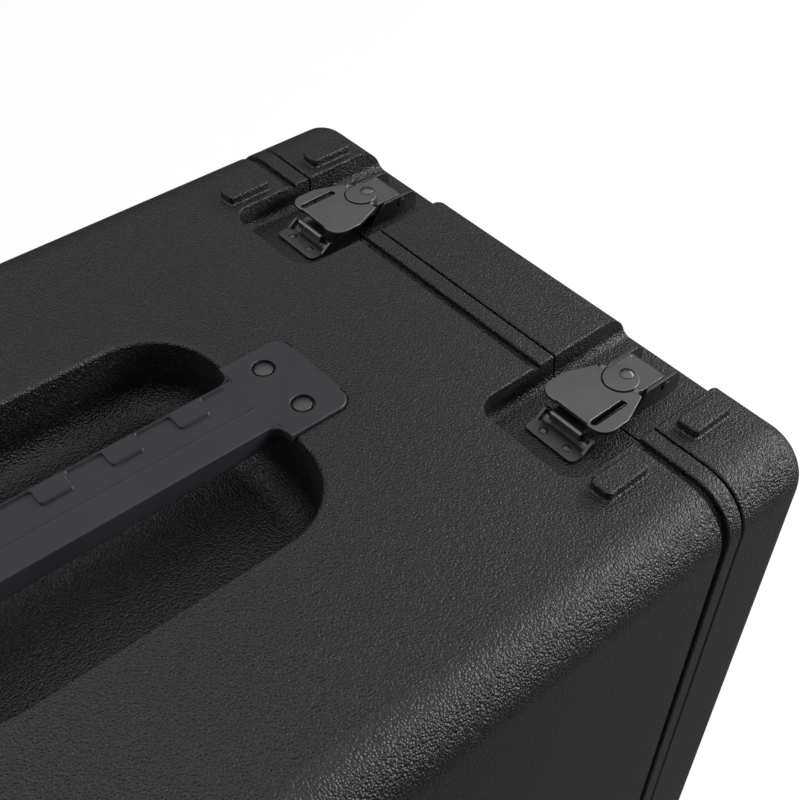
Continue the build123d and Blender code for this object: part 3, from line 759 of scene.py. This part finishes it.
def tube_piece(
    name: str, points: np.ndarray, material: bpy.types.Material | None, closed: bool = False
) -> bpy.types.Object:
    """Tube through rows of points, with flat ends or closed to a ring, merged and turned outwards.

    Face (i, j) joins points j and j + 1 of section i with those of section i + 1, and the last
    point of a section joins the first.

    Args:
        name: Name of the piece.
        points: Sections by points by three coordinates, in metres.
        material: Its finish, or none for a tool.
        closed: Whether the last section lies on the first, so that no ends are needed.

    Returns:
        The linked object.
    """
    count, around = points.shape[:2]
    grid = np.arange(count * around).reshape(count, around)
    beside = np.roll(grid, -1, axis=1)
    quads = np.stack([grid[:-1], beside[:-1], beside[1:], grid[1:]], axis=-1).reshape(-1, 4)
    ends = [] if closed else [grid[0].tolist(), grid[-1].tolist()]
    mesh = bpy.data.meshes.new(name)
    mesh.from_pydata(points.reshape(-1, 3).tolist(), [], quads.tolist() + ends)
    merge_and_turn_out(mesh, turn=True)
    return linked_piece(name, mesh, material)


def turned(
    radii: np.ndarray, heights: np.ndarray, x: float, y: float, count: int = 48
) -> np.ndarray:
    """Closed profile turned about an upright axis.

    Args:
        radii: Distances of its points from the axis.
        heights: Their heights.
        x: Place of the axis across.
        y: Place of the axis along.
        count: Number of sections in a turn.

    Returns:
        Points of each section, the last section on the first.
    """
    turn = np.linspace(0.0, 2 * np.pi, count + 1)[:, None]
    upright = np.broadcast_to(heights, (count + 1, len(heights)))
    return np.stack([x + radii * np.cos(turn), y + radii * np.sin(turn), upright], axis=-1)


def merge_and_turn_out(mesh: bpy.types.Mesh, turn: bool) -> None:
    """Merge double points, drop faces without area and turn the faces outwards.

    Args:
        mesh: The mesh that is changed.
        turn: Whether the faces may point the wrong way.
    """
    work = bmesh.new()
    work.from_mesh(mesh)
    bmesh.ops.remove_doubles(work, verts=work.verts, dist=MERGE_DISTANCE)
    bmesh.ops.dissolve_degenerate(work, edges=work.edges, dist=MERGE_DISTANCE)
    if turn:
        bmesh.ops.recalc_face_normals(work, faces=work.faces)
    work.to_mesh(mesh)
    work.free()


def linked_piece(
    name: str, mesh: bpy.types.Mesh, material: bpy.types.Material | None, sharp: float = SMOOTH_TURN
) -> bpy.types.Object:
    """Object in the scene with smooth faces, sharp edges where it turns, and its finish.

    Args:
        name: Name of the piece.
        mesh: Its mesh.
        material: Its finish, or none for a tool.
        sharp: Turn from which an edge is sharp, in radians.

    Returns:
        The linked object.
    """
    mesh.shade_smooth()
    mesh.set_sharp_from_angle(angle=sharp)
    mesh.materials.clear()
    if material:
        mesh.materials.append(material)
    piece = bpy.data.objects.new(name, mesh)
    bpy.context.scene.collection.objects.link(piece)
    LOG.info("%s: %d faces", name, len(mesh.polygons))
    return piece


@dataclass(frozen=True)
class Place:
    """Place of one latch: signs of its side, lid and face.

    Attributes:
        side: 1 where X is positive.
        lid: 1 for the rear lid.
        face: 1 for the upper face.
    """

    side: float
    lid: float
    face: float

    @staticmethod
    def of(node: str) -> "Place":
        """Place of a node, from the middle of its box.

        Args:
            node: Name of the node.

        Returns:
            Its place.
        """
        low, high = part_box(node)
        middle = (low + high) / 2 - Vector((0.0, 0.0, CASE_MIDDLE * MM))
        return Place(*(float(np.sign(number)) for number in middle))

    def moved(self, points: np.ndarray) -> np.ndarray:
        """Points of the upper latch with positive X and Y, carried to this latch.

        X, Y and the height over the middle of the case are multiplied by their signs.

        Args:
            points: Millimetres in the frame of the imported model.

        Returns:
            Metres in the same frame.
        """
        shift = np.array([0.0, 0.0, CASE_MIDDLE])
        return ((points - shift) * np.array([self.side, self.lid, self.face]) + shift) * MM


@dataclass
class LatchPlates:
    """Wings with a bevelled slot, and hubs with a fine groove round their rivet."""

    slot_x: float = 117.6
    slot_y: float = 236.75
    slot_half_width: float = 2.05
    slot_half_length: float = 12.5
    wing_top: float = 565.5
    bevel: float = 0.22
    rivet_x: float = 105.0
    rivet_y: float = 264.4
    rivet_radius: float = 3.7
    hub_top: float = 566.3
    groove_width: float = 0.5
    groove_depth: float = 0.5
    tool_depth: float = 6.0
    tool_height: float = 1.0
    round_points: int = 12

    def slot_outline(self, grown: float) -> np.ndarray:
        """Outline of the slot: two half circles, each moved out along the slot.

        Args:
            grown: How much wider than the slot.

        Returns:
            Points across and along about the slot's middle.
        """
        radius = self.slot_half_width + grown
        angle = np.linspace(0.0, np.pi, self.round_points)
        shift = self.slot_half_length - self.slot_half_width
        head = np.stack([radius * np.cos(angle), shift + radius * np.sin(angle)], axis=-1)
        return np.concatenate([head, -head])

    def slot_tool(self, place: Place) -> bpy.types.Object:
        """Tool that opens the slot: straight below, then flared by the bevel up to the face.

        Args:
            place: The latch.

        Returns:
            The tool.
        """
        above = (self.tool_height, self.tool_height + self.bevel)
        levels = [(-self.tool_depth, 0.0), (-self.bevel, 0.0), (0.0, self.bevel), above]
        rings = []
        for level, grown in levels:
            flat = self.slot_outline(grown) + np.array([self.slot_x, self.slot_y])
            height = np.full((len(flat), 1), self.wing_top + level)
            rings.append(np.concatenate([flat, height], axis=1))
        return tube_piece("slot_tool", place.moved(np.stack(rings)), None)

    def groove_tool(self, place: Place) -> bpy.types.Object:
        """Ring round the rivet: a rectangle turned about the rivet's axis.

        Args:
            place: The latch.

        Returns:
            The tool.
        """
        wide = self.rivet_radius + self.groove_width
        radii = np.array([self.rivet_radius, wide, wide, self.rivet_radius])
        deep, proud = -self.groove_depth, self.tool_height
        heights = self.hub_top + np.array([deep, deep, proud, proud])
        ring = turned(radii, heights, self.rivet_x, self.rivet_y)
        return tube_piece("groove_tool", place.moved(ring), None, closed=True)

    def build(self, wing: bpy.types.Material, hub: bpy.types.Material) -> None:
        """Replace every wing and hub by its carved plate.

        Args:
            wing: Finish of the wings.
            hub: Finish of the hubs.
        """
        jobs = {"_wing": (self.slot_tool, wing), "_hub": (self.groove_tool, hub)}
        for ending, (tool, material) in jobs.items():
            for name in [name for name in frame["nodes"] if name.endswith(ending)]:
                mesh = frame["nodes"][name].data
                tools = [tool(Place.of(name))]
                piece = carved(f"{name}_plate", mesh, tools, material, PRESSED_TURN)
                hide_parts(name)
                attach(piece, name)


def carved(
    name: str,
    source: bpy.types.Mesh,
    tools: list[bpy.types.Object],
    material: bpy.types.Material,
    sharp: float,
) -> bpy.types.Object:
    """Merged copy of a mesh with tools taken out of it.

    Args:
        name: Name of the piece.
        source: The mesh that is copied.
        tools: The tools, which are removed afterwards.
        material: Its finish.
        sharp: Turn from which an edge is sharp, in radians.

    Returns:
        The linked object.
    """
    mesh = source.copy()
    merge_and_turn_out(mesh, turn=False)
    rough = bpy.data.objects.new(name + "_rough", mesh)
    bpy.context.scene.collection.objects.link(rough)
    for tool in tools:
        cut = rough.modifiers.new(tool.name, "BOOLEAN")
        cut.operation = "DIFFERENCE"
        cut.object = tool
    graph = bpy.context.evaluated_depsgraph_get()
    made = bpy.data.meshes.new_from_object(rough.evaluated_get(graph))
    stored = made.attributes.get("custom_normal")
    if stored:
        made.attributes.remove(stored)
    for spent in [rough, *tools]:
        bpy.data.objects.remove(spent)
    return linked_piece(name, made, material, sharp)


@dataclass(frozen=True)
class Lamp:
    """Soft box that looks at the upper face of the case.

    Attributes:
        name: Its name.
        direction: From the case to the lamp.
        distance: Metres from the case.
        size: Width and height in metres.
        watts: Power.
    """

    name: str
    direction: tuple[float, float, float]
    distance: float
    size: tuple[float, float]
    watts: float

    def hang(self) -> None:
        """Put the lamp into the scene."""
        lamp = bpy.data.lights.new(self.name, "AREA")
        lamp.shape = "RECTANGLE"
        lamp.size, lamp.size_y = self.size
        lamp.energy = self.watts
        holder = bpy.data.objects.new(self.name, lamp)
        target = Vector((0.0, -0.1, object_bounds()[1][2]))
        towards = Vector(self.direction).normalized()
        holder.location = target + towards * self.distance
        holder.rotation_euler = towards.to_track_quat("Z", "Y").to_euler()
        bpy.context.scene.collection.objects.link(holder)
        LOG.info("lamp %s", self.name)


LAMPS = (
    Lamp("key", (-0.62, -0.72, 0.32), 2.4, (1.2, 0.8), 34.0),
    Lamp("front_strip", (-0.1, -0.92, 0.35), 2.4, (1.8, 0.6), 16.0),
    Lamp("back_fill", (0.62, 0.66, 0.42), 2.8, (1.8, 1.2), 16.0),
)


@dataclass
class Studio:
    """Floor, lamps, world and camera."""

    eye: Vector = field(default_factory=lambda: Vector((-0.3636, 0.1207, 0.9875)))
    forward: Vector = field(default_factory=lambda: Vector((0.5318, -0.4721, -0.7031)))
    right: Vector = field(default_factory=lambda: Vector((-0.6516, -0.7584, 0.0165)))
    lens: float = 53.87
    film_width: float = 36.0
    nearest: float = 0.02
    floor_half: float = 6.0
    floor_height: float = -0.2 * MM
    ambient: float = 0.15
    mirrored_sky: float = 0.97
    mirrored_horizon: float = 0.05
    mirrored_floor: float = 0.06
    sky_from: float = 0.1
    sky_to: float = 0.85
    paper: float = 0.85
    floor_glow: float = 1.12
    glow_share: float = 0.82

    def build(self) -> None:
        """Make the whole studio."""
        self.make_camera()
        self.make_world()
        self.make_floor()
        for lamp in LAMPS:
            lamp.hang()
        bpy.context.scene.view_settings.view_transform = "Standard"

    def make_camera(self) -> None:
        """Camera that stands where the photograph was taken."""
        camera = bpy.data.cameras.new("photo_view")
        camera.lens = self.lens
        camera.sensor_width = self.film_width
        camera.clip_start = self.nearest
        holder = bpy.data.objects.new("photo_view", camera)
        forward = self.forward.normalized()
        right = (self.right - forward * self.right.dot(forward)).normalized()
        up = right.cross(forward)
        turn = Matrix((right, up, -forward)).transposed()
        holder.matrix_world = Matrix.Translation(self.eye) @ turn.to_4x4()
        bpy.context.scene.collection.objects.link(holder)
        bpy.context.scene.camera = holder
        LOG.info("camera %s", camera.name)

    def make_world(self) -> None:
        """World that is white to the eye, pale overhead in reflections and dimmer as a light."""
        world = bpy.data.worlds.new("studio")
        world.use_nodes = True
        bpy.context.scene.world = world
        tree = Tree(world.node_tree, "ShaderNodeOutputWorld")
        eye, mirror = self.rays(tree)
        direction = tree.node("ShaderNodeTexCoord", {}, {})["Generated"]
        up = tree.node("ShaderNodeSeparateXYZ", {}, {0: direction})["Z"]
        sky = self.mirrored_horizon + up.clamped(self.sky_from, self.sky_to) * self.mirrored_sky
        strength = self.ambient + eye * (1.0 - self.ambient) + mirror * (sky - self.ambient)
        inputs = {"Color": (1.0, 1.0, 1.0, 1.0), "Strength": strength}
        tree.finish(tree.node("ShaderNodeBackground", {}, inputs))

    def rays(self, tree: Tree) -> tuple[Value, Value]:
        """Numbers that are 1 for what the eye sees, and for what polished surfaces and glass see.

        Args:
            tree: Tree that the nodes go into.

        Returns:
            The camera ray value and the glossy or transmission ray value.
        """
        path = tree.node("ShaderNodeLightPath", {}, {})
        return path["Is Camera Ray"], path["Is Glossy Ray"] + path["Is Transmission Ray"]

    def make_floor(self) -> None:
        """Pale floor that keeps a soft shadow."""
        side = self.floor_half
        mesh = bpy.data.meshes.new("floor")
        low = self.floor_height
        corners = [(-side, -side, low), (side, -side, low), (side, side, low), (-side, side, low)]
        mesh.from_pydata(corners, [], [(0, 1, 2, 3)])
        floor = bpy.data.objects.new("floor", mesh)
        bpy.context.scene.collection.objects.link(floor)
        material = bpy.data.materials.new("floor_paper")
        material.use_nodes = True
        tree = Tree(material.node_tree, "ShaderNodeOutputMaterial")
        eye, mirror = self.rays(tree)
        grey = (self.paper, self.paper, self.paper, 1.0)
        paper = tree.node("ShaderNodeBsdfDiffuse", {}, {"Color": grey})["BSDF"]
        glow = eye * self.floor_glow + mirror * self.mirrored_floor
        white = tree.node("ShaderNodeEmission", {}, {"Strength": glow})["Emission"]
        share = (eye + mirror) * self.glow_share
        tree.finish(tree.node("ShaderNodeMixShader", {}, {0: share, 1: paper, 2: white}))
        mesh.materials.append(material)
        floor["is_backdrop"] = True
        LOG.info("floor")


def main() -> None:
    """Dress the case, replace its handles, wings and hubs, and set up its studio."""
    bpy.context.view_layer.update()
    Studio().build()
    wardrobe = Wardrobe()
    wardrobe.build()
    wardrobe.dress_nodes()
    handle = CarryingHandle()
    grip = wardrobe.materials[Slot.GRIP]
    handle.build("upper_carrying_handle", 1.0, "upper_handle", grip)
    handle.build("lower_carrying_handle", -1.0, "lower_handle", grip)
    LatchPlates().build(wardrobe.materials[Slot.LATCH], HUB_STEEL.material())


if __name__ == "__main__":
    main()
